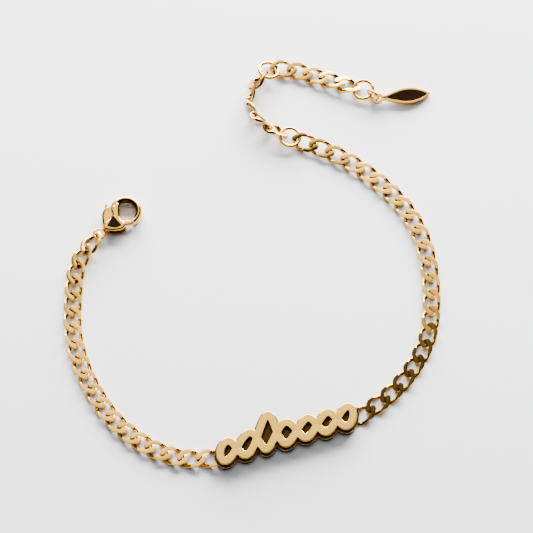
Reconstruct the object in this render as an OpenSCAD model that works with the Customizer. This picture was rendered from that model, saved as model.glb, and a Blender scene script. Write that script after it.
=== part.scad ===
// Nameplate bracelet of flat curb chain, laid open on a table.
// The origin is at the middle of its box, on the table, with +Z up.

/* [Curb link] */
// Outer length of one link
link_length = 5.55; // [5.2:0.05:6.2]
// Outer width of one link
link_width = 3.6; // [3.4:0.1:4.6]
// Diameter of the link's wire
link_wire = 0.85; // [0.7:0.05:1]
// Height that the filed faces leave of a link lying flat
link_height = 1.0; // [0.9:0.05:1.5]
// Twist of a link from one end to the other, in degrees, left-handed
link_twist = 122; // [118:1:130]
// Least room between two links that pull on each other
link_play = 0.25; // [0.25:0.01:0.4]

/* [Jump rings] */
// Outer diameter of the three extender rings
ring_diameter = 4.7; // [4.2:0.1:6]
// Diameter of their wire
ring_wire = 0.7; // [0.5:0.05:0.8]
// Outer diameter of the small ring that holds the tag
tag_ring_diameter = 3.1; // [3:0.05:3.5]
// Diameter of its wire
tag_ring_wire = 0.5; // [0.4:0.05:0.6]

/* [Tag] */
// Length of the leaf-shaped tag with its eye
tag_length = 12; // [9:0.1:14]
// Width of the tag where it is widest
tag_width = 3.4; // [2.8:0.1:4.5]
// Thickness of the tag at its rim
tag_thickness = 0.7; // [0.6:0.05:0.8]
// Width of the raised rim round the tag's face
tag_rim = 0.35; // [0.25:0.05:0.5]
// Depth of the face below the rim
tag_recess = 0.15; // [0.1:0.05:0.25]
// Outer diameter of the tag's eye
tag_eye_diameter = 2.2; // [2.1:0.05:2.4]
// Diameter of the hole for the tag's ring
tag_hole = 1.2; // [1.15:0.05:1.3]

/* [Nameplate] */
// Length of the ornament
plate_length = 28.6; // [26:0.1:29]
// Height of its small eyes
eye_height = 5.3; // [4.8:0.1:6]
// Height of its tall eye
tall_height = 8.2; // [7.4:0.1:9]
// Width of the ribbon
ribbon_width = 1.65; // [1.5:0.05:1.8]
// Thickness of the front ribbon
ribbon_thickness = 1.2; // [0.8:0.05:1.6]
// Thickness of the back plate
back_thickness = 1.1; // [0.8:0.05:1.4]
// How far the back plate shows beyond the ribbon
back_lip = 0.35; // [0.2:0.05:0.5]
// How far the ornament's foot lies below the line of the two end links
foot_drop = 2.6; // [2.3:0.1:2.9]
// Number of eyes in the ornament
eyes = 7; // [6:1:8]
// Which of them is tall, from the left
tall_eye = 3; // [2:1:5]
// Slant of the ornament, in degrees
slant = 18; // [0:1:20]

/* [Clasp] */
// Height of the clasp lying flat
clasp_height = 2.2; // [1.9:0.05:2.6]
// Outer diameter of the clasp's eye
eye_diameter = 2.6; // [2.5:0.05:3]
// Thickness of the eye's wire
eye_wire = 0.5; // [0.4:0.05:0.55]
// Distance from the eye to the middle of the hook
clasp_reach = 7.1; // [6.6:0.1:8]
// Outer diameter of the hook
hook_diameter = 6.5; // [6:0.1:7.4]
// Width of the hook's bar, seen from above
hook_bar = 1.15; // [0.9:0.05:1.4]
// Diameter of the rivet that the lever turns on
rivet_diameter = 0.9; // [0.7:0.05:1.1]
// Thickness of the lever between the clasp's two cheeks
lever_thickness = 0.9; // [0.8:0.05:1.1]
// Room between the lever and what it moves in
lever_play = 0.12; // [0.11:0.01:0.15]
// How far the lever is turned open
lever_angle = 0; // [0:1:25]

/* [Hidden] */

gold = [0.87, 0.68, 0.38];
pale_gold = [0.93, 0.79, 0.55];
deep_gold = [0.78, 0.58, 0.3];
$fn = 48;

// Where the pieces lie, in the table's plane.
left_end = [-8.09, -41.85];
right_end = [21.71, -32.85];
clasp_eye = [-30.69, 5.05];
clasp_turn = 43;
join_centre = [7.61, 26.35];
corner_centre = [3.11, 41.75];
end_centre = [22.71, 37.25];
tag_eye = end_centre + [2.9, -2.1];
tag_turn = 7.5;
tag_ring_turn = -36;

// The chains' routes: a few chosen points each, joined by a smooth curve.
left_route = [
    left_end, [-14.19, -41.75], [-20.69, -39.15], [-26.29, -34.75], [-30.29, -29.35], [-33.49, -22.95],
    [-35.39, -15.95], [-35.59, -8.55], [-34.99, -1.75], [-32.39, 2.95], clasp_eye
];
right_route = [
    right_end, [27.11, -28.75], [31.51, -23.45], [34.71, -16.85], [35.61, -9.65], [35.41, -2.85],
    [34.11, 4.15], [30.81, 10.95], [26.11, 16.25], [20.61, 20.65], [14.21, 23.95], join_centre
];
extender_route_a = [
    join_centre, [4.61, 27.75], [1.31, 30.05], [-0.49, 33.15], [-0.49, 36.55], [1.31, 39.05], corner_centre
];
extender_route_b = [corner_centre, [6.31, 42.25], [12.71, 40.55], [19.61, 38.25], end_centre];

// How the three rings lie: the height of the middle, the tilts about X and Y, and a small shift.
join_height = 1.2 * link_height;
join_tilt = [0.4, 4.3, 0];
join_shift = [0.02, 0.09];
corner_height = 1.2 * link_height;
corner_tilt = [-12.8, 9.5, 0];
corner_shift = [0.19, -0.15];
end_height = 1.05 * link_height;
end_tilt = [4, -7.1, 0];

// Roll of the links about the chain's line, as [share of the way, degrees].
left_roll = [[0, 0], [0.8, 0], [1, -21]];
right_roll = [[0, 0], [0.85, 0], [1, -20]];
extender_roll_a = [[0, 40], [1, 130]];
extender_roll_b = [[0, 12], [1, -14]];

// A link's centreline is two half circles and two straights, which the twist then turns.
bend_steps = 6;
wire_sides = 6;
bend_radius = (link_width - link_wire) / 2;
straight_half = (link_length - link_wire) / 2 - bend_radius;
link_pitch = link_length - 2 * link_wire - link_play;

function twisted(p) =
    let (turn = -link_twist * p.x / link_length)
    [p.x, p.y * cos(turn) - p.z * sin(turn), p.y * sin(turn) + p.z * cos(turn)];

function filed(p) = [p.x, p.y, max(-link_height / 2, min(link_height / 2, p.z))];

// The angles along the centreline: one half circle, then the other.
bend_angles = [
    for (side = [0, 180])
    for (i = [0 : bend_steps]) [side, side - 90 + 180 * i / bend_steps]
];

link_points = [
    for (b = bend_angles)
    for (k = [0 : wire_sides - 1])
    let (
        out = bend_radius + link_wire / 2 * cos(360 * k / wire_sides),
        up = link_wire / 2 * sin(360 * k / wire_sides)
    )
    filed(twisted([straight_half * cos(b[0]) + out * cos(b[1]), out * sin(b[1]), up]))
];

link_rings = len(bend_angles);
link_faces = [
    for (i = [0 : link_rings - 1])
    for (k = [0 : wire_sides - 1])
    let (
        a = i * wire_sides + k,
        b = i * wire_sides + (k + 1) % wire_sides,
        c = ((i + 1) % link_rings) * wire_sides + k,
        d = ((i + 1) % link_rings) * wire_sides + (k + 1) % wire_sides
    )
    each [[a, b, c], [b, d, c]]
];

// The height of a link's middle when it just touches the table, rolled and sloping.
function seat(roll, slope) = -min([
    for (p = link_points)
    p.x * sin(slope) + (p.y * sin(roll) + p.z * cos(roll)) * cos(slope)
]);

module link() {
    polyhedron(points = link_points, faces = link_faces);
}

// A smooth curve through the route's points, and its length so far.
curve_steps = 10;
function knot(route, i) = route[max(0, min(len(route) - 1, i))];

function on_curve(route, i, t) =
    let (p0 = knot(route, i - 1), p1 = knot(route, i), p2 = knot(route, i + 1), p3 = knot(route, i + 2))
    0.5 * (2 * p1 + (p2 - p0) * t + (2 * p0 - 5 * p1 + 4 * p2 - p3) * t * t
        + (3 * p1 - p0 - 3 * p2 + p3) * t * t * t);

function smooth(route) = [
    for (i = [0 : len(route) - 2])
    for (j = [0 : curve_steps - 1]) on_curve(route, i, j / curve_steps),
    route[len(route) - 1]
];

function step(line, i) = i < len(line) ? norm(line[i] - line[i - 1]) : 0;

function lengths(line) = [
    for (i = 0, sum = 0; i < len(line); i = i + 1, sum = sum + step(line, i)) sum
];

function axis_table(line, far, axis) = [for (i = [0 : len(line) - 1]) [far[i], line[i][axis]]];

function heading(a, b) = atan2(b.y - a.y, b.x - a.x);

// Links along a route, evenly spaced, none nearer than first_gap and last_gap to its ends.
module chain(route, roll, first_gap, last_gap) {
    line = smooth(route);
    far = lengths(line);
    total = far[len(far) - 1] - first_gap - last_gap;
    gaps = max(1, ceil(total / link_pitch - 0.001));
    pitch = total / gaps;
    xs = axis_table(line, far, 0);
    ys = axis_table(line, far, 1);
    turns = [for (i = [-1 : gaps + 1]) lookup(i / gaps, roll)];
    level = [for (turn = turns) seat(turn, 0)];
    for (i = [0 : gaps]) {
        s = first_gap + pitch * i;
        ahead = [lookup(s + pitch / 2, xs), lookup(s + pitch / 2, ys)];
        behind = [lookup(s - pitch / 2, xs), lookup(s - pitch / 2, ys)];
        turn = turns[i + 1];
        height_behind = max(level[i], level[i + 1]);
        height_ahead = max(level[i + 1], level[i + 2]);
        slope = atan((height_ahead - height_behind) / pitch);
        height = max((height_behind + height_ahead) / 2, seat(turn, slope));
        translate([(behind.x + ahead.x) / 2, (behind.y + ahead.y) / 2, height])
            rotate([turn, -slope, heading(behind, ahead)])
                link();
    }
}

// How far a link's middle is from the middle of a ring that it hangs in.
function ring_gap(diameter, wire) = diameter / 2 - wire + link_length / 2 - link_wire - link_play;

module left_chain() {
    color(gold)
        chain(left_route, left_roll, link_pitch, ring_gap(eye_diameter, eye_wire));
}

module right_chain() {
    color(gold)
        chain(right_route, right_roll, link_pitch, ring_gap(ring_diameter, ring_wire));
}

module extender_chain_a() {
    gap = ring_gap(ring_diameter, ring_wire);
    color(gold)
        chain(extender_route_a, extender_roll_a, gap, gap);
}

module extender_chain_b() {
    gap = ring_gap(ring_diameter, ring_wire);
    color(gold)
        chain(extender_route_b, extender_roll_b, gap, gap);
}

// A round jump ring, its middle at a height, tilted about the table's X and Y.
module jump_ring(centre, height, diameter, wire, tilt) {
    translate([centre.x, centre.y, height])
        rotate(tilt)
            rotate_extrude()
                translate([(diameter - wire) / 2, 0])
                    circle(d = wire);
}

module join_ring() {
    color(pale_gold)
        jump_ring(join_centre + join_shift, join_height, ring_diameter, ring_wire, join_tilt);
}

module corner_ring() {
    color(pale_gold)
        jump_ring(corner_centre + corner_shift, corner_height, ring_diameter, ring_wire, corner_tilt);
}

module end_ring() {
    color(pale_gold)
        jump_ring(end_centre, end_height, ring_diameter, ring_wire, end_tilt);
}

// The tag's ring stands on the table, and holds the end ring on one side and the tag on the other.
tag_ring_mid = (tag_ring_diameter - tag_ring_wire) / 2;
tag_room = 0.25;
tag_lift = tag_ring_wire + tag_room;
tag_below = tag_ring_diameter / 2 - tag_lift - tag_thickness / 2;
tag_slack = 0.07;
tag_ring_stand = [90, 0, tag_ring_turn];
tag_ring_reach = sqrt(pow(tag_ring_mid, 2) - pow(tag_below, 2)) - tag_slack;
tag_ring_centre = tag_eye - tag_ring_reach * [cos(tag_ring_turn), sin(tag_ring_turn)];

module tag_ring() {
    color(pale_gold)
        jump_ring(tag_ring_centre, tag_ring_diameter / 2, tag_ring_diameter, tag_ring_wire, tag_ring_stand);
}

// How far a cut runs past the face that it goes through.
through = 1;

// Half the leaf's width at a share of its length, widest a little past the middle.
leaf_stem = 0.3;
leaf_belly = 1.25;
leaf_fullness = 0.8;
function leaf_half(s) =
    tag_width / 2 * max(leaf_stem * (1 - s), pow(sin(180 * pow(s, leaf_belly)), leaf_fullness));
leaf_steps = 16;
tag_fillet = 0.4;
leaf_start = tag_eye_diameter / 4;
leaf_length = tag_length - tag_eye_diameter / 2 - leaf_start;
leaf_edge = [
    for (i = [0 : leaf_steps]) [leaf_start + leaf_length * i / leaf_steps, leaf_half(i / leaf_steps)]
];

module leaf() {
    polygon([
        each leaf_edge,
        for (i = [leaf_steps - 1 : -1 : 0]) [leaf_edge[i].x, -leaf_edge[i].y]
    ]);
}

// The leaf and its eye run into each other with a small fillet.
module tag_outline() {
    offset(r = -tag_fillet)
        offset(r = tag_fillet) {
            leaf();
            circle(d = tag_eye_diameter);
        }
}

// The tag's eye end is lifted by its ring, and its tip rests on the table.
module tag() {
    slope = asin(tag_lift / tag_length);
    color(deep_gold)
        translate([tag_eye.x, tag_eye.y, tag_lift])
            rotate([0, slope, tag_turn])
                difference() {
                    linear_extrude(tag_thickness)
                        tag_outline();
                    translate([0, 0, tag_thickness - tag_recess])
                        linear_extrude(2 * tag_recess)
                            difference() {
                                offset(delta = -tag_rim)
                                    leaf();
                                circle(d = tag_eye_diameter);
                            }
                    translate([0, 0, -through])
                        cylinder(d = tag_hole, h = tag_thickness + 2 * through);
                }
}

// The ornament is a ribbon of two waves that cross and close at both ends, like a chain of eyes.
half_line = (plate_length - ribbon_width) / 2;
eye_rise = eye_height - ribbon_width;
tall_rise = tall_height - ribbon_width;
end_round = half_line / (1 + PI / 2 * (eyes - 1));
eye_length = PI * end_round;
tall_x = -half_line + end_round + eye_length * (tall_eye - 1);
eye_steps = 24;
strand_steps = eye_steps * eyes;

function slanted(p) = [p.x + (p.y - eye_rise / 2) * tan(slant), p.y];

// How tall the ribbon is at a place along it, from 0 to 1.
tall_spread = 0.68 * eye_length;
function tallness(x) = exp(-pow((x - tall_x) / tall_spread, 2));

// The place along the ribbon at a phase of its waves: round at both ends, and even between them.
function along(phase) =
    phase < 90 ? half_line - end_round * (1 - cos(phase))
    : phase > 180 * eyes - 90 ? end_round * (1 - cos(180 * eyes - phase)) - half_line
    : half_line - end_round * (1 + (phase - 90) * PI / 180);

// A point of a strand, side 1 or -1, its foot on the X axis.
function on_strand(phase, side) =
    let (x = along(phase), rise = eye_rise + (tall_rise - eye_rise) * tallness(x))
    slanted([x, rise / 2 * (1 + side * sin(phase))]);

function line_normal(line, i) =
    let (a = line[max(0, i - 1)], b = line[min(len(line) - 1, i + 1)], d = (b - a) / norm(b - a))
    [-d.y, d.x];

module ribbon(line) {
    edge = ribbon_width / 2;
    last = len(line) - 1;
    polygon([
        for (i = [0 : last]) line[i] + edge * line_normal(line, i),
        for (i = [last : -1 : 0]) line[i] - edge * line_normal(line, i)
    ]);
    for (tip = [line[0], line[last]])
        translate(tip)
            circle(r = edge);
}

// The ornament's outline, grown by a lip, with all its turns closed that are narrower than twice close.
module ornament(close, lip) {
    offset(delta = lip - close)
        offset(delta = close)
            for (side = [-1, 1])
                ribbon([for (i = [0 : strand_steps]) on_strand(180 * eyes * i / strand_steps, side)]);
}

plate_turn = heading(left_end, right_end);
plate_centre = (left_end + right_end) / 2;

// The back plate closes the eyes that the front leaves open.
front_close = 0.16;
back_close = 0.85;

// The end links are soldered to the back plate, a hair above the table.
end_link_lift = 0.03;
module nameplate() {
    color(gold)
        union() {
            translate([plate_centre.x, plate_centre.y, 0])
                rotate(plate_turn)
                    translate([0, ribbon_width / 2 - foot_drop, 0]) {
                        linear_extrude(back_thickness)
                            ornament(back_close, back_lip);
                        linear_extrude(back_thickness + ribbon_thickness)
                            ornament(front_close, 0);
                    }
            for (end = [[left_end, left_route[1]], [right_end, right_route[1]]])
                translate([end[0].x, end[0].y, link_height / 2 + end_link_lift])
                    rotate(heading(end[0], end[1]))
                        link();
        }
}

// The clasp in its own frame: the eye at the origin, the hook along +X, the lever turning in its plane.
hook_mid = (hook_diameter - hook_bar) / 2;
hook_centre = [clasp_reach, 0];
// The hook's bar runs from its root in the body round to its tip.
hook_tip_angle = -108;
hook_root_angle = 125;
cheek_round = 0.35;
cheek_sides = 24;
cheek_proud = 0.06;
neck_length = 0.25;
neck = [eye_diameter / 2 + neck_length, 0];
slot_height = lever_thickness + 2 * lever_play;
slot_wall = 0.3;
slot_wall_angle = 105;

// Corners of a cheek: the neck, the belly and the foot below the gate, the straight edge along the
// opening, the hook's root, and the notch beside the flank.
cheek_corners = [
    neck + [-0.1, 0.1], neck + [-0.1, -0.1], hook_centre + [-3.95, -1.6], hook_centre + [-2.85, -1.65],
    hook_centre + [-2.35, -0.8], hook_centre + [-0.1, 2.25], hook_centre + [-1.35, 2.5],
    hook_centre + [-2.35, 0.8]
];

// Corners of the flank, which lies a step below the cheeks.
flank_step = 0.15;
flank_corners = [
    neck + [0.1, 0.1], hook_centre + [-2.35, 0.4], hook_centre + [-1.6, 2.2], hook_centre + [-2.55, 2.95],
    neck + [0.45, 0.85]
];

// The lever has its thumb tip and its heel on one side of the rivet, and its gate on the other.
pivot = [clasp_reach / 2 + 0.35, -0.35];
thumb_tip = hook_centre + [-1.85, 3.75];
thumb_root = hook_centre + [-2.6, 2.85];
heel = neck + [1.15, 0.8];
gate_tip = hook_centre + [-0.85, 0.22 - hook_mid];
hub_wall = 0.4;
hub_radius = rivet_diameter / 2 + hub_wall;
gate_round = 0.42;
thumb_round = 0.28;

// The hook's tip is cut to the arc that the gate's end swings along.
gate_reach = norm(gate_tip - pivot) + gate_round;

module place_clasp() {
    translate([clasp_eye.x, clasp_eye.y, 0])
        rotate(clasp_turn)
            children();
}

// The hook's bar is an oval, taller than it is wide.
module hook() {
    bar_sides = 16;
    translate([hook_centre.x, hook_centre.y, clasp_height / 2])
        rotate(hook_tip_angle)
            rotate_extrude(angle = hook_root_angle - hook_tip_angle)
                polygon([
                    for (i = [0 : bar_sides - 1])
                    [
                        hook_mid + hook_bar / 2 * cos(360 * i / bar_sides),
                        (clasp_height / 2 - cheek_proud) * sin(360 * i / bar_sides)
                    ]
                ]);
}

module rounded(corners) {
    offset(r = cheek_round, $fn = cheek_sides)
        polygon(corners);
}

// The room that the gate's end swings through, below the clasp's middle line.
module gate_sweep() {
    intersection() {
        translate([pivot.x, pivot.y, -through])
            cylinder(r = gate_reach + lever_play, h = clasp_height + 2 * through);
        translate([0, -hook_diameter, -through])
            cube([2 * clasp_reach, hook_diameter, clasp_height + 2 * through]);
    }
}

// The slot for the lever is open at both sides, and closed at the neck and at the hook's root.
module lever_slot() {
    translate([0, 0, (clasp_height - slot_height) / 2])
        linear_extrude(slot_height)
            difference() {
                translate([neck.x + neck_length, -hook_diameter])
                    square([hook_centre.x, 2 * hook_diameter]);
                translate(hook_centre + hook_mid * [cos(slot_wall_angle), sin(slot_wall_angle)])
                    circle(r = hook_bar / 2 + slot_wall);
            }
}

module clasp_body() {
    color(gold)
        place_clasp() {
            difference() {
                union() {
                    linear_extrude(clasp_height)
                        rounded(cheek_corners);
                    translate([0, 0, flank_step])
                        linear_extrude(clasp_height - 2 * flank_step)
                            rounded(flank_corners);
                }
                lever_slot();
            }
            difference() {
                hook();
                gate_sweep();
            }
            translate([pivot.x, pivot.y, 0])
                cylinder(d = rivet_diameter, h = clasp_height);
            translate([0, 0, clasp_height / 2])
                rotate_extrude()
                    translate([(eye_diameter - eye_wire) / 2, 0])
                        circle(d = eye_wire);
        }
}

// The lever turns about the rivet: its thumb tip swings towards the eye as its gate opens inwards.
module lever_outline() {
    hull() {
        circle(r = hub_radius);
        translate(heel - pivot)
            circle(r = gate_round);
        translate(thumb_root - pivot)
            circle(r = gate_round);
    }
    hull() {
        translate(thumb_root - pivot)
            circle(r = gate_round);
        translate(thumb_tip - pivot)
            circle(r = thumb_round);
    }
    hull() {
        circle(r = hub_radius);
        translate(gate_tip - pivot)
            circle(r = gate_round);
    }
}

module clasp_lever() {
    color(pale_gold)
        place_clasp()
            translate([pivot.x, pivot.y, (clasp_height - lever_thickness) / 2])
                rotate(lever_angle)
                    difference() {
                        linear_extrude(lever_thickness)
                            lever_outline();
                        translate([0, 0, -through])
                            cylinder(d = rivet_diameter + 2 * lever_play, h = clasp_height);
                    }
}

nameplate();
left_chain();
right_chain();
extender_chain_a();
extender_chain_b();
join_ring();
corner_ring();
end_ring();
tag_ring();
tag();
clasp_body();
clasp_lever();
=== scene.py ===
# %% [markdown]
# # A nameplate bracelet on a pale table
# The real object is a slim curb chain in a yellow gold finish, with a pierced plate, a lobster clasp, an
# extender and a small leaf-shaped tag. It lies open on a pale table in soft light.
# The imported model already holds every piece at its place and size, but with few facets. This lesson
# builds smooth metal over it, because polished metal is judged by its clean reflections.
# Each step selects what it needs, runs a few operators, and prints what it made.

import math
import random

import bpy
import numpy as np
from mathutils import Matrix, Vector


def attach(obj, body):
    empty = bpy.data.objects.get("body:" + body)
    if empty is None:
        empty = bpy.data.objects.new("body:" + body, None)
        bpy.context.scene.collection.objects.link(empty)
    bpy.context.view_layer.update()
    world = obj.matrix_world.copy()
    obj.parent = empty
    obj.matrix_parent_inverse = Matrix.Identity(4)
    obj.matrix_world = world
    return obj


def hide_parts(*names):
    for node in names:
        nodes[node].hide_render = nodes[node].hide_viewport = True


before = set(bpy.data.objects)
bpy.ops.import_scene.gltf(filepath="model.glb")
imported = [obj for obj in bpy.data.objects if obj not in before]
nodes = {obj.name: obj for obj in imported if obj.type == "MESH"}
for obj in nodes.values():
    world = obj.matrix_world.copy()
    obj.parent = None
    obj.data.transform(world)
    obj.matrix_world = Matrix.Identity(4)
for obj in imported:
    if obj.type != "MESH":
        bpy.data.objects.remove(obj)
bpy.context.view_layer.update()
random.seed(7)

# %% [markdown]
# ## Working with operators
# Blender's operators act on what is selected and active, so each helper first clears the selection.
# The metal is modelled in millimetres, and scaled down to metres when it is finished. It could be made in
# metres from the start, but merging, bevels and booleans are steadier with numbers near one.

# %% Selecting, settling and resizing
MM = 0.001


def only(obj):
    """Selects one object and makes it active."""
    bpy.ops.object.select_all(action="DESELECT")
    obj.select_set(True)
    bpy.context.view_layer.objects.active = obj


def edit(obj, *steps):
    """Runs the steps in edit mode, with nothing else selected."""
    only(obj)
    bpy.ops.object.mode_set(mode="EDIT")
    for step in steps:
        step()
    bpy.ops.object.mode_set(mode="OBJECT")


def settle(obj):
    """Puts an object's place, turn and scale into its mesh."""
    only(obj)
    bpy.ops.object.transform_apply(location=True, rotation=True, scale=True)


def resize(obj, factor):
    """Scales an object's mesh about the origin."""
    obj.scale = (factor, factor, factor)
    settle(obj)


def twin(obj, name):
    """A copy of an object with its own mesh."""
    other = obj.copy()
    other.data = obj.data.copy()
    other.name = other.data.name = name
    bpy.context.scene.collection.objects.link(other)
    return other


def remove(obj):
    """Deletes an object that was only a tool."""
    bpy.data.objects.remove(obj, do_unlink=True)


print("working unit:", MM, "m")

# %% [markdown]
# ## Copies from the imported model
# A smooth piece has to lie where the model's piece lies. Its place could be typed in, but a measured
# place follows the model when a size changes. So a copy of the model's mesh is merged, and its middle and
# its longest directions are read from its points.

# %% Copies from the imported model
MERGE = 0.0005


def cad_copy(node):
    """A merged copy of a CAD node's mesh, in millimetres."""
    copy = twin(nodes[node], node + "_copy")
    copy.parent = None
    copy.matrix_world = Matrix.Identity(4)
    for key in list(copy.keys()):
        del copy[key]
    copy.data.materials.clear()
    resize(copy, 1 / MM)
    edit(
        copy,
        lambda: bpy.ops.mesh.select_all(action="SELECT"),
        lambda: bpy.ops.mesh.remove_doubles(threshold=MERGE),
    )
    return copy


def solids(node):
    """The separate solids of a CAD node, as objects."""
    copy = cad_copy(node)
    edit(
        copy,
        lambda: bpy.ops.mesh.select_all(action="SELECT"),
        lambda: bpy.ops.mesh.separate(type="LOOSE"),
    )
    return list(bpy.context.selected_objects)


def axes_of(obj):
    """A solid's middle and its three axes, longest first, measured from its vertices."""
    points = np.array([v.co for v in obj.data.vertices])
    middle = points.mean(0)
    spread, axes = np.linalg.eigh(np.cov((points - middle).T))
    axes = axes[:, np.argsort(-spread)]
    if np.linalg.det(axes) < 0:
        axes[:, 2] = -axes[:, 2]
    place = Matrix(axes.tolist()).to_4x4()
    place.translation = Vector(middle)
    return place


print("left_chain in the model:", len(nodes["left_chain"].data.polygons), "faces")

# %% [markdown]
# ## One curb link
# A real curb link is an oval ring of wire, twisted about its length and then filed flat above and below.
# It could be a curve with a round profile, but a torus has an even mesh, and its two halves only have to
# be moved apart to make the oval. The long sides are thinned in four steps towards their middles, which
# keeps the holes between the links open.

# %% The oval of wire
LINK_LENGTH, LINK_WIDTH, LINK_WIRE = 5.85, 3.85, 1.1
SECTIONS, SIDES, STRAIGHT_CUTS = 48, 20, 10
THIN_SIDES, SIDE_THINNING, SIDE_SHIFT = (1.6, 1.3, 1.0, 0.7), 0.91, 0.3
bend_radius = (LINK_WIDTH - LINK_WIRE) / 2
straight_half = (LINK_LENGTH - LINK_WIRE) / 2 - bend_radius


def pick_from(obj, kind):
    """Starts a new selection of vertices, edges or faces, with none selected yet."""
    edit(
        obj,
        lambda: bpy.ops.mesh.select_mode(type=kind),
        lambda: bpy.ops.mesh.select_all(action="DESELECT"),
    )


def pick(obj, test):
    """Selects the vertices that pass a test."""
    pick_from(obj, "VERT")
    for v in obj.data.vertices:
        v.select = bool(test(v.co))


bpy.ops.object.select_all(action="DESELECT")
bpy.ops.mesh.primitive_torus_add(
    major_segments=SECTIONS, minor_segments=SIDES, major_radius=bend_radius, minor_radius=LINK_WIRE / 2,
    rotation=(0, 0, math.pi / SECTIONS),
)
link = bpy.context.object
settle(link)
for side in (1, -1):
    pick(link, lambda co: co.x * side > 0)
    edit(link, lambda: bpy.ops.transform.translate(value=(side * straight_half, 0, 0)))
pick_from(link, "EDGE")
for e in link.data.edges:
    a, b = (link.data.vertices[i].co for i in e.vertices)
    e.select = (a - b).length > straight_half
edit(link, lambda: bpy.ops.mesh.subdivide(number_cuts=STRAIGHT_CUTS))
for half_length in THIN_SIDES:
    for side in (1, -1):
        pick(link, lambda co: abs(co.x) < half_length and co.y * side > 0)
        middle = (0, side * (bend_radius + SIDE_SHIFT), 0)
        edit(link, lambda: bpy.ops.transform.resize(value=(1, SIDE_THINNING, 1), center_override=middle))
print("oval of wire:", len(link.data.polygons), "faces")

# %% [markdown]
# ### Numbers on the faces
# Polished metal shows the room around it: a side that faces a dark corner is nearly black, and a filed
# flat is pale. The room could be built around the bracelet, but only its reflections are known. So the
# faces carry numbers that the material reads: one is high where dark reflections and shade are painted
# into the colour, front is 1 on the flats, and tone is how deep the gold is.

# %% The link's inner side


def mark(obj, label, value_of):
    """Writes a number on every face, which the material reads by its label."""
    layer = obj.data.attributes.new(label, "FLOAT", "FACE")
    layer.data.foreach_set("value", [float(value_of(face)) for face in obj.data.polygons])


def inner(face):
    """More than 0 on the wire's inner side, which is darker because little light comes in there."""
    past = max(0.0, abs(face.center.x) - straight_half)
    return max(0.0, min(1.0, 2 * (bend_radius - math.hypot(past, face.center.y)) / LINK_WIRE))


# The wire's inner side gets painted shade.
mark(link, "painted_dark", inner)
print("darkest inner face:", max(entry.value for entry in link.data.attributes["painted_dark"].data))

# %% [markdown]
# ### Twisting and filing
# The link is finished as a chain maker does it: the whole oval is twisted, and then all that stands past
# two level planes is taken off. Flattening it by scale would be quicker, but leaves no crisp flats.
# A narrow bevel then catches light along the filed edges.

# %% Twisting and filing
LINK_HEIGHT, LINK_TWIST = 0.95, -128
FILED_EDGE, FILED_ANGLE, LINK_SMOOTH = 0.045, 27, 40
LEVEL_FROM = 0.995


def apply_modifier(obj, kind, **settings):
    """Adds one modifier with its settings, and applies it."""
    only(obj)
    modifier = obj.modifiers.new(kind.lower(), kind)
    for key, value in settings.items():
        setattr(modifier, key, value)
    bpy.ops.object.modifier_apply(modifier=modifier.name)


def smooth(obj, degrees):
    """Smooth shading, with edges kept where the faces turn by more than an angle."""
    only(obj)
    bpy.ops.object.shade_smooth_by_angle(angle=math.radians(degrees))


def level(face):
    """1 on flat faces above and below, for the brushed finish."""
    return abs(face.normal.z) > LEVEL_FROM


twist = math.radians(LINK_TWIST)
apply_modifier(link, "SIMPLE_DEFORM", deform_method="TWIST", deform_axis="X", angle=twist)

bpy.ops.object.select_all(action="DESELECT")
bpy.ops.mesh.primitive_cube_add(size=1, scale=(2 * LINK_LENGTH, 2 * LINK_LENGTH, LINK_HEIGHT))
file_box = bpy.context.object
settle(file_box)
apply_modifier(link, "BOOLEAN", object=file_box, operation="INTERSECT", solver="EXACT")
remove(file_box)
file_angle = math.radians(FILED_ANGLE)
apply_modifier(link, "BEVEL", width=FILED_EDGE, segments=2, limit_method="ANGLE", angle_limit=file_angle)
smooth(link, LINK_SMOOTH)
mark(link, "front", level)
print("curb link:", len(link.data.polygons), "faces,", [round(s, 2) for s in link.dimensions], "mm")

# %% [markdown]
# ## The chains
# The real chain is a row of equal links, each hooked into the next. An array along a curve could repeat
# the link, but would crowd it at the bends. The model's loose links are already laid well, so each one
# gives a place for a smooth copy. A link looks the same after a half turn about any of its axes, so the
# measured axes need no signs.
# Each link gets its own tone, and a high power makes deep tones rare. The lowest links of the right chain
# mirror a dark part of the room, so a dark reflection is painted on their flats, more and more from DIM_FROM
# to DIM_TO.

# %% One link in its place
TONE_POWER = 1.8
DIM_RIGHT_OF, DIM_FROM, DIM_TO, DIM_MOST, DIM_SPREAD = 10.0, 5.0, -17.0, 0.97, 0.06


def painted_dark_reflection(place, shade):
    """How strongly a dark reflection is painted on a link's flats: 0 on most links, and high on the lowest
    ones of the right chain.
    """
    x, y = place.translation.xy
    depth = (y - DIM_FROM) / (DIM_TO - DIM_FROM) if x > DIM_RIGHT_OF else 0.0
    return DIM_MOST * max(0.0, min(1.0, depth)) ** 2 * (1 - DIM_SPREAD * shade)


def placed(shape, place, name):
    """A copy of a link, moved to a place and settled there, with its own tone and any painted dark
    reflection.
    """
    obj = twin(shape, name)
    obj.matrix_world = place
    settle(obj)
    shade = random.random() ** TONE_POWER
    mark(obj, "tone", lambda face: shade)
    # The flats of the lowest links on the right get a painted dark reflection.
    painted_dim = painted_dark_reflection(place, shade)
    painted_walls, fronts = (obj.data.attributes[label].data for label in ("painted_dark", "front"))
    for painted_dark, front in zip(painted_walls, fronts):
        painted_dark.value = max(painted_dark.value, painted_dim * front.value)
    return obj


print("darkest flats: wall", DIM_MOST)

# %% The chains
CHAINS = ["left_chain", "right_chain", "extender_chain_a", "extender_chain_b"]


def join(objects, name):
    """Joins objects into one piece."""
    bpy.ops.object.select_all(action="DESELECT")
    for obj in objects:
        obj.select_set(True)
    bpy.context.view_layer.objects.active = objects[0]
    if len(objects) > 1:
        bpy.ops.object.join()
    objects[0].name = objects[0].data.name = name
    return objects[0]


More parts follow.
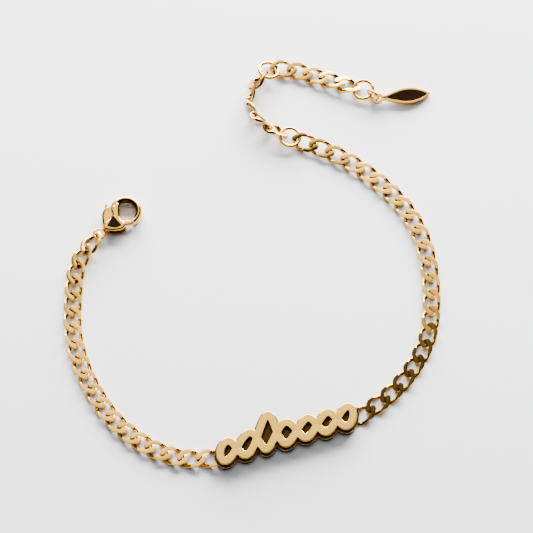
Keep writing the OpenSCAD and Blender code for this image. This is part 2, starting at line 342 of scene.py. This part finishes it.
def build_chain(node):
    """A smooth link at each loose link of a CAD chain."""
    guides = solids(node)
    links = [placed(link, axes_of(guide), node + "_link") for guide in guides]
    for guide in guides:
        remove(guide)
    chain = join(links, node + "_links")
    resize(chain, MM)
    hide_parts(node)
    print(node, len(links), "links,", len(chain.data.polygons), "faces")
    return chain


chains = {node: build_chain(node) for node in CHAINS}

# %% [markdown]
# ## The jump rings
# A jump ring is a ring of round wire, cut once and pressed shut. The cut could be modelled, but it can't
# be seen from here, so a plain torus is enough, and it stays perfectly round.
# The table gives each ring's outer diameter and its wire, in millimetres.

# %% The jump rings
RINGS = {"join_ring": (4.7, 0.7), "corner_ring": (4.7, 0.7), "end_ring": (4.7, 0.7), "tag_ring": (3.1, 0.5)}
RING_SECTIONS, RING_SIDES = 96, 24
RING_TONE, RING_SMOOTH = 0.2, 60


def build_ring(node, diameter, wire):
    """A smooth ring in the place of a CAD ring."""
    guide = cad_copy(node)
    place = axes_of(guide)
    remove(guide)
    bpy.ops.object.select_all(action="DESELECT")
    bpy.ops.mesh.primitive_torus_add(
        major_segments=RING_SECTIONS, minor_segments=RING_SIDES, major_radius=(diameter - wire) / 2,
        minor_radius=wire / 2,
    )
    ring = bpy.context.object
    ring.name = ring.data.name = node + "_wire"
    ring.matrix_world = place
    settle(ring)
    mark(ring, "tone", lambda face: RING_TONE)
    resize(ring, MM)
    smooth(ring, RING_SMOOTH)
    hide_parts(node)
    print(node, len(ring.data.polygons), "faces")
    return ring


rings = {node: build_ring(node, *size) for node, size in RINGS.items()}

# %% [markdown]
# ## The nameplate
# The real plate has two layers, a brushed ribbon in front of a polished back plate, and a smooth link is
# soldered to each end. One thick shape could stand for both layers, but the step between them gives the
# plate its dark outline.
# Each layer is a flat shape with a rounded edge. A bevel on the model's outline would show each of its
# many corners. So the edge of a flat face becomes a curve, which can be smoothed before it gets its
# thickness.

# %% The outlines of the two layers
BACK_TOP, RIBBON_TOP = 1.1, 2.3
HEIGHT_SLACK, FACING_FROM = 0.01, 0.99


def outline_of(node, height, facing):
    """The outline of a CAD node's flat faces at one height, as a curve."""
    copy = cad_copy(node)
    pick_from(copy, "FACE")
    for face in copy.data.polygons:
        at_height = abs(face.center.z - height) < HEIGHT_SLACK
        face.select = facing * face.normal.z > FACING_FROM and at_height
    edit(
        copy,
        bpy.ops.mesh.region_to_loop,
        bpy.ops.mesh.duplicate,
        lambda: bpy.ops.mesh.separate(type="SELECTED"),
    )
    outline = next(obj for obj in bpy.context.selected_objects if obj != copy)
    remove(copy)
    only(outline)
    bpy.ops.object.convert(target="CURVE")
    return bpy.context.object


back_outline = outline_of("nameplate", 0, -1)
ribbon_outline = outline_of("nameplate", RIBBON_TOP, 1)
print("closed lines on the ribbon's outline:", len(ribbon_outline.data.splines))

# %% [markdown]
# ### Smooth lines with a few corners
# Smooth handles could be set on every point, but the ornament's own corners would be lost. So a point
# where the line turns by more than a chosen angle keeps straight handles, and the rest becomes smooth.

# %% Smooth lines with a few corners
PLATE_CORNER, PLATE_STEPS = 25, 3


def soften(outline, corner, steps):
    """Turns the outline into a smooth curve that keeps its sharp corners."""
    edit(
        outline,
        lambda: bpy.ops.curve.select_all(action="SELECT"),
        lambda: bpy.ops.curve.spline_type_set(type="BEZIER"),
        lambda: bpy.ops.curve.handle_type_set(type="AUTOMATIC"),
        lambda: bpy.ops.curve.select_all(action="DESELECT"),
    )
    for spline in outline.data.splines:
        spline.resolution_u = steps
        points = spline.bezier_points
        for i, point in enumerate(points):
            ahead = points[(i + 1) % len(points)].co - point.co
            behind = point.co - points[i - 1].co
            if ahead.angle(behind) > math.radians(corner):
                point.select_control_point = True
    edit(outline, lambda: bpy.ops.curve.handle_type_set(type="VECTOR"))
    return outline


for outline in (back_outline, ribbon_outline):
    soften(outline, PLATE_CORNER, PLATE_STEPS)
print("points on the ribbon's outline:", sum(len(line.bezier_points) for line in ribbon_outline.data.splines))

# %% [markdown]
# ### The two layers
# A flat curve has its own thickness and its own rounded edge, so no edge has to be picked for a bevel.
# The ribbon is sunk a little into the back plate, as two soldered layers have no gap between them.

# %% The two layers
BACK_EDGE, RIBBON_EDGE, RIBBON_SUNK = 0.14, 0.18, 0.1


def pressed(outline, bottom, top, edge, reach=0.0, steps=3):
    """A plate between two heights with this outline, grown by a reach, and with rounded edges."""
    only(outline)
    shape = outline.data
    shape.dimensions = "2D"
    shape.fill_mode = "BOTH"
    shape.extrude = (top - bottom) / 2 - edge
    shape.bevel_depth = edge
    shape.bevel_resolution = steps
    shape.offset = reach - edge
    outline.location.z = (top + bottom) / 2
    bpy.ops.object.convert(target="MESH")
    plate = bpy.context.object
    settle(plate)
    edit(
        plate,
        lambda: bpy.ops.mesh.select_all(action="SELECT"),
        lambda: bpy.ops.mesh.remove_doubles(threshold=MERGE),
        lambda: bpy.ops.mesh.normals_make_consistent(inside=False),
    )
    return plate


back = pressed(back_outline, 0, BACK_TOP, BACK_EDGE)
ribbon = pressed(ribbon_outline, BACK_TOP - RIBBON_SUNK, RIBBON_TOP, RIBBON_EDGE, 0.0, 4)
print("back plate and ribbon:", len(back.data.polygons), "and", len(ribbon.data.polygons), "faces")

# %% [markdown]
# ### End links and painted dark reflections
# Each end link lies flat and points to the first link of its chain. The upright faces and the back
# plate's top mirror the dark room, so a dark reflection is painted on them, and the back plate's rounded rim
# stays bright.

# %% End links and painted dark reflections
SOLDER_LIFT, PLATE_TONE, WELL_PAINTED_DARK, PLATE_SMOOTH = 0.03, 0.25, 0.97, 32
END_LINKS = {(-8.09, -41.85): (-14.19, -41.75), (21.71, -32.85): (27.11, -28.75)}


def upright(face):
    """1 on upright faces and less on sloping ones, where a dark reflection is painted."""
    return max(0.0, 1 - 2 * abs(face.normal.z))


ends = []
for (x, y), (to_x, to_y) in END_LINKS.items():
    place = Matrix.Translation((x, y, LINK_HEIGHT / 2 + SOLDER_LIFT))
    heading = math.atan2(to_y - y, to_x - x)
    ends.append(placed(link, place @ Matrix.Rotation(heading, 4, "Z"), "end_link"))
remove(link)
for piece in (back, ribbon):
    mark(piece, "tone", lambda face: PLATE_TONE)
    mark(piece, "front", level)
# The upright faces and the back plate's top get a painted dark reflection.
mark(back, "painted_dark", lambda face: max(upright(face), WELL_PAINTED_DARK * (face.center.z > BACK_TOP - HEIGHT_SLACK)))
mark(ribbon, "painted_dark", upright)
plate = join([back, ribbon, *ends], "nameplate_metal")
resize(plate, MM)
smooth(plate, PLATE_SMOOTH)
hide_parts("nameplate")
print("nameplate:", len(plate.data.polygons), "faces")

# %% [markdown]
# ## The tag
# The tag is a small stamped leaf, with a raised rim around a polished sunk face. It could be pressed from
# an outline like the plate, but it lies at a slant, and the model's solid already has the rim. So the
# solid is kept and only its edges are rounded. The sunk face is found by its direction and its height,
# and a dark reflection is painted on it.

# %% The tag
TAG_EDGE, TAG_EDGE_ANGLE, TAG_TONE, TAG_SMOOTH = 0.07, 40, 0.1, 32
WELL_FACING, WELL_SLACK, FLAT_ANGLE = 0.999, 0.02, 0.5
tag = cad_copy("tag")
edit(
    tag,
    lambda: bpy.ops.mesh.select_all(action="SELECT"),
    lambda: bpy.ops.mesh.dissolve_limited(angle_limit=math.radians(FLAT_ANGLE)),
)
well = max(tag.data.polygons, key=lambda face: face.area * face.normal.z)
lean, well_height = well.normal.copy(), well.normal.dot(well.center)


def in_well(face):
    """1 on the sunk face inside the rim, where a dark reflection of the room is painted."""
    return face.normal.dot(lean) > WELL_FACING and abs(face.center.dot(lean) - well_height) < WELL_SLACK


edge_angle = math.radians(TAG_EDGE_ANGLE)
apply_modifier(tag, "BEVEL", width=TAG_EDGE, segments=3, limit_method="ANGLE", angle_limit=edge_angle)
# The sunk face gets a painted dark reflection.
mark(tag, "painted_dark", in_well)
tag.name = tag.data.name = "tag_metal"
mark(tag, "tone", lambda face: TAG_TONE)
resize(tag, MM)
smooth(tag, TAG_SMOOTH)
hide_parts("tag")
print("tag:", len(tag.data.polygons), "faces")

# %% [markdown]
# ## The clasp
# A lobster clasp is cast in one piece: two cheeks around a slot, a hook, and an eye for the chain. In the
# slot a sprung lever turns on a rivet and closes the hook. It could be sculpted, but simple bodies keep
# cast metal clean: rounded plates for the cheeks and the lower flank, and parts of a torus for the hook
# and the eye. The outlines are measured from the middle of the hook, in the clasp's own frame.

# %% Sizes of the clasp
CLASP_PLACE = Matrix.Translation((-30.69, 5.05, 0)) @ Matrix.Rotation(math.radians(43), 4, "Z")
CLASP_HEIGHT, CHEEK_REACH, SLOT_HEIGHT, HOLLOW_DEPTH = 2.2, 0.35, 1.14, 0.35
HOOK = Vector((7.1, 0, CLASP_HEIGHT / 2))
PIVOT = Vector((3.9, -0.35, CLASP_HEIGHT / 2))
CHEEK = [
    (-5.45, 0.1), (-5.3, -0.35), (-4.05, -1.7), (-2.55, -2.25), (-2.2, -1.9), (-2.3, -0.8), (-0.55, 1.75),
    (-0.25, 2.05), (-0.95, 2.1), (-1.55, 2.1), (-2.35, 0.8),
]
FLANK = [(-5.45, 0.1), (-2.35, 0.4), (-1.6, 2.2), (-2.55, 2.95), (-5.1, 0.85)]
HOLLOW = [(-2.6, 0.85), (-5.1, -0.1), (-4.05, -1.55), (-2.75, -2.05)]
print("clasp:", CLASP_HEIGHT, "mm thick,", len(CHEEK), "corners on the cheek")

# %% [markdown]
# ### Cheeks, flank and hollow
# Both cheeks are one thick plate at first, and the flank is a thinner plate beside them. They could be
# traced point by point, but a few corners are enough, because the smooth curve fills in the rest. One
# boolean joins them, and another sinks a shallow hollow into the front cheek. A dark reflection is painted on
# the hollow's floor.

# %% Cheeks, flank and hollow
CHEEK_EDGE, FLANK_EDGE, FLANK_STEP, FLANK_DROP = 0.42, 0.6, 0.25, 0.3
HOLLOW_EDGE, HOLLOW_CORNER, FLOOR_BELOW, FLOOR_ABOVE, FLOOR_FACING = 0.03, 100, 0.05, 0.035, 0.9
ALL_SMOOTH, CURVE_STEPS, PAST_TOP = 180, 8, 0.8


def drawn(corners):
    """A closed curve through corners given from the middle of the hook, in the clasp's own frame."""
    bpy.ops.object.select_all(action="DESELECT")
    bpy.ops.mesh.primitive_circle_add(vertices=len(corners))
    shape = bpy.context.object
    for v, (x, y) in zip(shape.data.vertices, corners):
        v.co = (HOOK.x + x, y, 0)
    bpy.ops.object.convert(target="CURVE")
    return bpy.context.object


def cut(obj, tool, operation="DIFFERENCE"):
    """One boolean with a tool that is then thrown away."""
    apply_modifier(obj, "BOOLEAN", object=tool, operation=operation, solver="EXACT")
    remove(tool)


def in_hollow(face):
    """1 on the floor of the hollow in the front cheek, where a dark reflection is painted."""
    above_floor = face.center.z - (CLASP_HEIGHT - HOLLOW_DEPTH)
    return -FLOOR_BELOW < above_floor < FLOOR_ABOVE and face.normal.z > FLOOR_FACING


cheek_outline = soften(drawn(CHEEK), ALL_SMOOTH, CURVE_STEPS)
clasp = pressed(cheek_outline, 0, CLASP_HEIGHT, CHEEK_EDGE, CHEEK_REACH, CURVE_STEPS)
flank_outline = soften(drawn(FLANK), ALL_SMOOTH, CURVE_STEPS)
flank_top = CLASP_HEIGHT - FLANK_DROP
flank = pressed(flank_outline, FLANK_STEP, flank_top, FLANK_EDGE, CHEEK_REACH, CURVE_STEPS)
cut(clasp, flank, "UNION")
hollow_outline = soften(drawn(HOLLOW), HOLLOW_CORNER, CURVE_STEPS)
hollow_floor = CLASP_HEIGHT - HOLLOW_DEPTH
cut(clasp, pressed(hollow_outline, hollow_floor, CLASP_HEIGHT + PAST_TOP, HOLLOW_EDGE, 0.0, 2))
# The hollow's floor gets a painted dark reflection.
mark(clasp, "painted_dark", in_hollow)
print("cheeks and flank:", len(clasp.data.polygons), "faces")

# %% [markdown]
# ### The slot
# The lever's slot parts the plate into two cheeks. The hook starts from a solid wall beside it. The wall
# could be added again afterwards, but it is simpler to take its round form out of the cutting block.

# %% The slot
SLOT_AHEAD, SLOT_LENGTH, SLOT_WIDTH, THROUGH = 2.1, 8.4, 9, 4
HOOK_RADIUS, HOOK_BAR, WALL_ANGLE, WALL_ROUND = 2.68, 1.3, 105, 0.3
ROUND_SIDES = 96


def block(middle, size):
    """A box as a cutting tool."""
    bpy.ops.object.select_all(action="DESELECT")
    bpy.ops.mesh.primitive_cube_add(size=1, location=middle, scale=size)
    settle(bpy.context.object)
    return bpy.context.object


def round_bar(middle, radius, length):
    """An upright cylinder, as a tool or a pin."""
    bpy.ops.object.select_all(action="DESELECT")
    bpy.ops.mesh.primitive_cylinder_add(vertices=ROUND_SIDES, radius=radius, depth=length, location=middle)
    settle(bpy.context.object)
    return bpy.context.object


slot = block((PIVOT.x + SLOT_AHEAD, 0, CLASP_HEIGHT / 2), (SLOT_LENGTH, SLOT_WIDTH, SLOT_HEIGHT))
wall_angle = math.radians(WALL_ANGLE)
wall_middle = HOOK + HOOK_RADIUS * Vector((math.cos(wall_angle), math.sin(wall_angle), 0))
cut(slot, round_bar(wall_middle, HOOK_BAR / 2 + WALL_ROUND, THROUGH))
cut(clasp, slot)
print("cheeks with the slot:", len(clasp.data.polygons), "faces")

# %% [markdown]
# ### Hook, eye and rivet
# The hook is a part of a ring of oval bar. Its tip could be rounded, but on the real clasp the gate
# swings close past it. So the tip is cut by the round path of the gate's end about the rivet.

# %% Hook, eye and rivet
HOOK_HEIGHT, HOOK_FROM, HOOK_TO, GATE_SWEEP = 2.08, -108, 125, 3.692
INSIDE_MOST, INSIDE_STEEP = 0.95, 2.5
EYE_RADIUS, EYE_WIRE, RIVET_RADIUS, RIVET_LENGTH = 1.05, 0.5, 0.45, 1.325
BAR_SECTIONS, BAR_SIDES = 120, 28


def bent_bar(middle, radius, thickness, height, first=0.0, last=360.0):
    """A ring of oval section, or the part of it between two angles, closed at both ends."""

    def dropped(co):
        angle = math.degrees(math.atan2(co.y - middle.y, co.x - middle.x))
        return (angle - first) % 360 > last - first

    bpy.ops.object.select_all(action="DESELECT")
    bpy.ops.mesh.primitive_torus_add(
        major_segments=BAR_SECTIONS, minor_segments=BAR_SIDES, major_radius=radius,
        minor_radius=thickness / 2, location=middle,
    )
    bar = bpy.context.object
    bar.scale = (1, 1, height / thickness)
    settle(bar)
    if last - first < 360:
        pick(bar, dropped)
        edit(
            bar,
            lambda: bpy.ops.mesh.delete(type="VERT"),
            lambda: bpy.ops.mesh.select_all(action="SELECT"),
            lambda: bpy.ops.mesh.fill_holes(sides=0),
        )
    return bar


def turned_in(face):
    """More than 0 on the hook's inner side, which gets painted shade because little light comes in there."""
    outward = (face.center - HOOK).to_2d().normalized()
    return max(0.0, min(INSIDE_MOST, -INSIDE_STEEP * face.normal.to_2d().dot(outward) - 1))


hook = bent_bar(HOOK, HOOK_RADIUS, HOOK_BAR, HOOK_HEIGHT, HOOK_FROM, HOOK_TO)
sweep = round_bar(PIVOT, GATE_SWEEP, THROUGH)
gate_side = block((PIVOT.x, -GATE_SWEEP, CLASP_HEIGHT / 2), (3 * GATE_SWEEP, 2 * GATE_SWEEP, 2 * THROUGH))
cut(sweep, gate_side, "INTERSECT")
cut(hook, sweep)
# The hook's inner side gets painted shade.
mark(hook, "painted_dark", turned_in)
eye = bent_bar(Vector((0, 0, CLASP_HEIGHT / 2)), EYE_RADIUS, EYE_WIRE, EYE_WIRE)
rivet = round_bar(PIVOT, RIVET_RADIUS, RIVET_LENGTH)
print("hook:", len(hook.data.polygons), "faces")

# %% [markdown]
# ### The lever and the finished clasp
# The lever is a flat gate with rounded edges, so it is pressed from its outline as the plate is. It stays
# a piece of its own, because it is the one part that moves.

# %% The lever and the finished clasp
LEVER_BOTTOM, LEVER_TOP, LEVER_EDGE, LEVER_CORNER = 0.65, 1.55, 0.2, 50
CLASP_TONE, CLASP_SMOOTH = 0.2, 30
clasp = join([clasp, hook, eye, rivet], "clasp_metal")
clasp.matrix_world = CLASP_PLACE
settle(clasp)
lever_outline = soften(outline_of("clasp_lever", LEVER_TOP, 1), LEVER_CORNER, 3)
lever = pressed(lever_outline, LEVER_BOTTOM, LEVER_TOP, LEVER_EDGE, 0.0, 4)
lever.name = lever.data.name = "lever_metal"
for piece, node in ((clasp, "clasp_body"), (lever, "clasp_lever")):
    mark(piece, "tone", lambda face: CLASP_TONE)
    resize(piece, MM)
    smooth(piece, CLASP_SMOOTH)
    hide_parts(node)
    print(node, len(piece.data.polygons), "faces")

# %% [markdown]
# ## Fine marks in the metal
# Worn gold has fine scratches in a few directions, faint smudges and a slight grain. A picture could be
# laid over the pieces, but noise stays sharp at every size and needs no unwrapping. A scratch is noise
# that is squeezed about twenty times in one direction and cut off at a high value, so that only thin
# lines are left. One shared group makes all three marks, so that the finishes match.

# %% A group of nodes


def group(name, inputs, outputs):
    """A shader node group with named sockets, and its two end nodes."""
    tree = bpy.data.node_groups.new(name, "ShaderNodeTree")
    for label, kind, value in inputs:
        socket = tree.interface.new_socket(label, in_out="INPUT", socket_type=kind)
        if value is not None:
            socket.default_value = value
    for label, kind in outputs:
        tree.interface.new_socket(label, in_out="OUTPUT", socket_type=kind)
    return tree, tree.nodes.new("NodeGroupInput"), tree.nodes.new("NodeGroupOutput")


scratches, g_in, g_out = group(
    "FineScratches",
    [("Vector", "NodeSocketVector", None), ("Scale", "NodeSocketFloat", 300.0)],
    [("Mask", "NodeSocketFloat"), ("Smudge", "NodeSocketFloat"), ("Grain", "NodeSocketFloat")],
)
print("shared group:", scratches.name)

# %% Scratches
SCRATCHES = ((18, 22), (-37, 30), (71, 18))
LINE_FROM, LINE_TO = 0.6, 0.72


def add(tree, kind, values=None, **settings):
    """A node with its properties, and its unlinked inputs by name or number."""
    node = tree.nodes.new("ShaderNode" + kind)
    for key, value in settings.items():
        setattr(node, key, value)
    for key, value in (values or {}).items():
        node.inputs[key].default_value = value
    return node


def scratch_layer(tree, vector, scale, turn, squeeze):
    """Thin parallel lines in one direction."""
    mapping = add(tree, "Mapping", values={"Rotation": (0, 0, math.radians(turn)), "Scale": (1, squeeze, 1)})
    noise = add(tree, "TexNoise", values={"Detail": 2.0, "Roughness": 0.6})
    tree.links.new(vector, mapping.inputs["Vector"])
    tree.links.new(mapping.outputs["Vector"], noise.inputs["Vector"])
    tree.links.new(scale, noise.inputs["Scale"])
    line = add(tree, "MapRange", values={"From Min": LINE_FROM, "From Max": LINE_TO})
    tree.links.new(noise.outputs["Fac"], line.inputs["Value"])
    return line.outputs["Result"]


layers = [
    scratch_layer(scratches, g_in.outputs["Vector"], g_in.outputs["Scale"], turn, squeeze)
    for turn, squeeze in SCRATCHES
]
most = layers[0]
for layer in layers[1:]:
    biggest = add(scratches, "Math", operation="MAXIMUM")
    scratches.links.new(most, biggest.inputs[0])
    scratches.links.new(layer, biggest.inputs[1])
    most = biggest.outputs[0]
scratches.links.new(most, g_out.inputs["Mask"])
print("scratches in", len(layers), "directions")

# %% Smudges and grain
SMUDGE_SCALE, GRAIN_SCALE = 260.0, 9000.0
smudge = add(scratches, "TexNoise", values={"Scale": SMUDGE_SCALE, "Detail": 3.0})
grain = add(scratches, "TexNoise", values={"Scale": GRAIN_SCALE, "Detail": 2.0})
for node in (smudge, grain):
    scratches.links.new(g_in.outputs["Vector"], node.inputs["Vector"])
scratches.links.new(smudge.outputs["Fac"], g_out.inputs["Smudge"])
scratches.links.new(grain.outputs["Fac"], g_out.inputs["Grain"])
print("nodes in the group:", len(scratches.nodes))

# %% [markdown]
# ## The gold
# Polished gold scatters hardly any light and only tints what it mirrors, so its shader is fully metallic.
# One flat colour would look like plastic, so each link's tone and the smudges deepen it. The dark parts
# of the room aren't built, so one face number paints their dark reflections into the faces that would
# mirror them, with painted shade on inner sides, and the front number roughens the brushed flats.

# %% The gold's colour
# The third colour is the painted dark reflection and shade.
GOLD, DEEP_GOLD, PAINTED_DARK_GOLD = (0.86, 0.47, 0.062), (0.40, 0.20, 0.025), (0.014, 0.007, 0.003)
SMUDGE_SHARE, TONE_SHARE = 0.22, 0.78


def on_faces(tree, label):
    """The number that each face carries under this label."""
    return add(tree, "Attribute", attribute_name=label).outputs["Fac"]


def scaled(tree, value, factor, rest=None):
    """The value times a factor, plus the rest where there is one."""
    node = add(tree, "Math", operation="MULTIPLY_ADD", values={1: factor, 2: 0.0})
    tree.links.new(value, node.inputs[0])
    if rest is not None:
        tree.links.new(rest, node.inputs[2])
    return node.outputs[0]


def tint(tree, detail):
    """Light to deep gold by tone and smudges, and nearly black where dark reflections and shade are painted.
    """
    own_depth = scaled(tree, on_faces(tree, "tone"), TONE_SHARE)
    depth = scaled(tree, detail.outputs["Smudge"], SMUDGE_SHARE, own_depth)
    metal = add(tree, "Mix", data_type="RGBA", values={"A": (*GOLD, 1), "B": (*DEEP_GOLD, 1)})
    tree.links.new(depth, metal.inputs["Factor"])
    # Painted dark reflection and shade over the gold, by the face number.
    painted_darkening = add(tree, "Mix", data_type="RGBA", values={"B": (*PAINTED_DARK_GOLD, 1)})
    tree.links.new(on_faces(tree, "painted_dark"), painted_darkening.inputs["Factor"])
    tree.links.new(metal.outputs["Result"], painted_darkening.inputs["A"])
    return painted_darkening.outputs["Result"]


print("walls are", [round(w / g, 3) for w, g in zip(PAINTED_DARK_GOLD, GOLD)], "as bright as the gold")

# %% The gold's roughness and relief
FRONT_ROUGH, SCRATCH_ROUGH, GRAIN_HEIGHT, RELIEF = 0.16, 0.12, 0.15, 0.5


def roughness(tree, detail, rough, rough_more):
    """Rougher at smudges and scratches, and on the brushed flats."""
    spread = add(tree, "MapRange", values={"To Min": rough, "To Max": rough + rough_more})
    tree.links.new(detail.outputs["Smudge"], spread.inputs["Value"])
    satin = scaled(tree, on_faces(tree, "front"), FRONT_ROUGH, spread.outputs["Result"])
    return scaled(tree, detail.outputs["Mask"], SCRATCH_ROUGH, satin)


def relief(tree, detail, depth):
    """Grooves at the scratches, and a fine grain."""
    groove = scaled(tree, detail.outputs["Mask"], -1.0)
    bump = add(tree, "Bump", values={"Strength": RELIEF, "Distance": depth})
    tree.links.new(scaled(tree, detail.outputs["Grain"], GRAIN_HEIGHT, groove), bump.inputs["Height"])
    return bump.outputs["Normal"]


print("brushed flats:", FRONT_ROUGH, "rougher")

# %% [markdown]
# ## Three finishes
# The chain is the smoothest. The plate and the lever are a little duller, with finer scratches, and the
# tag has coarser scratches and stronger smudges. They could be three materials drawn by hand, but they
# differ only in four numbers, so one function makes all three. The numbers are the roughness, what the
# smudges add to it, the scale of the scratches, and the depth of the relief in metres.

# %% Three finishes
FINISHES = {
    "chain_gold": (0.05, 0.05, 420.0, 0.000004),
    "satin_gold": (0.06, 0.06, 500.0, 0.000006),
    "mirror_gold": (0.07, 0.08, 300.0, 0.000002),
}


def gold(name, rough, rough_more, scale, depth):
    """A gold finish with its own roughness, scratches and relief."""
    material = bpy.data.materials.new(name)
    material.use_nodes = True
    tree = material.node_tree
    coords = add(tree, "TexCoord")
    detail = add(tree, "Group", node_tree=scratches, values={"Scale": scale})
    tree.links.new(coords.outputs["Object"], detail.inputs["Vector"])
    shader = tree.nodes["Principled BSDF"]
    shader.inputs["Metallic"].default_value = 1.0
    tree.links.new(tint(tree, detail), shader.inputs["Base Color"])
    tree.links.new(roughness(tree, detail, rough, rough_more), shader.inputs["Roughness"])
    tree.links.new(relief(tree, detail, depth), shader.inputs["Normal"])
    return material


finishes = {name: gold(name, *values) for name, values in FINISHES.items()}
print("finishes:", list(finishes))

# %% Finish every piece
FINISH_OF = {"nameplate": "satin_gold", "tag": "mirror_gold", "clasp_lever": "satin_gold"}
made = {**chains, **rings, "nameplate": plate, "tag": tag, "clasp_body": clasp, "clasp_lever": lever}
for node, piece in made.items():
    piece.data.materials.clear()
    piece.data.materials.append(finishes[FINISH_OF.get(node, "chain_gold")])
    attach(piece, "lever" if node == "clasp_lever" else "bracelet")
print("finished:", {node: piece.data.materials[0].name for node, piece in made.items()})

# %% [markdown]
# ## The table
# The bracelet lies on a pale matte sheet. A plain white plane would do, but a faint fibre keeps it from
# looking like an empty background.

# %% The table
TABLE_SIZE, TABLE_ROUGH, FIBRE_SCALE = 3, 0.7, 900.0
TABLE_SHADES = {"A": (0.86, 0.86, 0.86, 1), "B": (0.90, 0.90, 0.895, 1)}
bpy.ops.object.select_all(action="DESELECT")
bpy.ops.mesh.primitive_plane_add(size=TABLE_SIZE, location=(0, 0, 0))
table = bpy.context.object
table.name = table.data.name = "table"
settle(table)
paper = bpy.data.materials.new("table_white")
paper.use_nodes = True
tree = paper.node_tree
coords = add(tree, "TexCoord")
fibre = add(tree, "TexNoise", values={"Scale": FIBRE_SCALE, "Detail": 4.0})
tree.links.new(coords.outputs["Object"], fibre.inputs["Vector"])
shade = add(tree, "Mix", data_type="RGBA", values=TABLE_SHADES)
tree.links.new(fibre.outputs["Fac"], shade.inputs["Factor"])
tree.links.new(shade.outputs["Result"], tree.nodes["Principled BSDF"].inputs["Base Color"])
tree.nodes["Principled BSDF"].inputs["Roughness"].default_value = TABLE_ROUGH
table.data.materials.append(paper)
print("table:", TABLE_SIZE, "m wide")

# %% [markdown]
# ## The light
# A wide window stands low behind the bracelet and throws soft shadows. An evenly bright room would make
# the metal flat and pale. So the room glows only around the direction that level metal mirrors towards
# the camera: the flats are bright, and most faces that turn away from them are dark.

# %% The window
WINDOW_PLACE, WINDOW_SIZE, WINDOW_POWER = (0.05, 0.52, 0.19), (0.80, 0.36), 48.0


def softbox(name, place, size, power):
    """A broad area light aimed at the bracelet."""
    bpy.ops.object.select_all(action="DESELECT")
    bpy.ops.object.light_add(type="AREA", location=place)
    lamp = bpy.context.object
    lamp.name = lamp.data.name = name
    lamp.rotation_euler = (-Vector(place)).to_track_quat("-Z", "Y").to_euler()
    lamp.data.shape = "RECTANGLE"
    lamp.data.size, lamp.data.size_y = size
    lamp.data.energy = power


softbox("window", WINDOW_PLACE, WINDOW_SIZE, WINDOW_POWER)
print("window:", WINDOW_SIZE, "m,", WINDOW_POWER, "W")

# %% The room
SKY, SKY_FROM, SKY_TO = (-0.05, 0.375, 0.927), (0.85, 0.99), (0.02, 2.8)
ROOM_COLOR = (0.95, 0.97, 1.0, 1)
world = bpy.data.worlds.new("room")
bpy.context.scene.world = world
world.use_nodes = True
tree = world.node_tree
coords = add(tree, "TexCoord")
facing = add(tree, "VectorMath", operation="DOT_PRODUCT", values={1: Vector(SKY).normalized()})
tree.links.new(coords.outputs["Generated"], facing.inputs[0])
glow = add(
    tree, "MapRange", interpolation_type="SMOOTHSTEP",
    values={"From Min": SKY_FROM[0], "From Max": SKY_FROM[1], "To Min": SKY_TO[0], "To Max": SKY_TO[1]},
)
tree.links.new(facing.outputs["Value"], glow.inputs["Value"])
tree.nodes["Background"].inputs["Color"].default_value = ROOM_COLOR
tree.links.new(glow.outputs["Result"], tree.nodes["Background"].inputs["Strength"])
print("room: strength", SKY_TO[0], "to", SKY_TO[1])

# %% [markdown]
# ## The camera
# The camera stands in front of the bracelet and well above it. A short lens would widen the near side of
# the chain, so a long one is used, as for a product picture.

# %% The camera
CAMERA_PLACE, CAMERA_AIM = (0.00284, -0.1888, 0.4636), (0.00284, -0.0015, 0)
LENS, SENSOR, NEAREST = 168.9, 36, 0.01
bpy.ops.object.select_all(action="DESELECT")
bpy.ops.object.camera_add(location=CAMERA_PLACE)
camera = bpy.context.object
camera.name = camera.data.name = "camera"
aim = Vector(CAMERA_AIM)
camera.rotation_euler = (aim - camera.location).to_track_quat("-Z", "Y").to_euler()
camera.data.lens = LENS
camera.data.sensor_width = SENSOR
camera.data.clip_start = NEAREST
bpy.context.scene.camera = camera
print("camera:", LENS, "mm lens on a", SENSOR, "mm sensor")
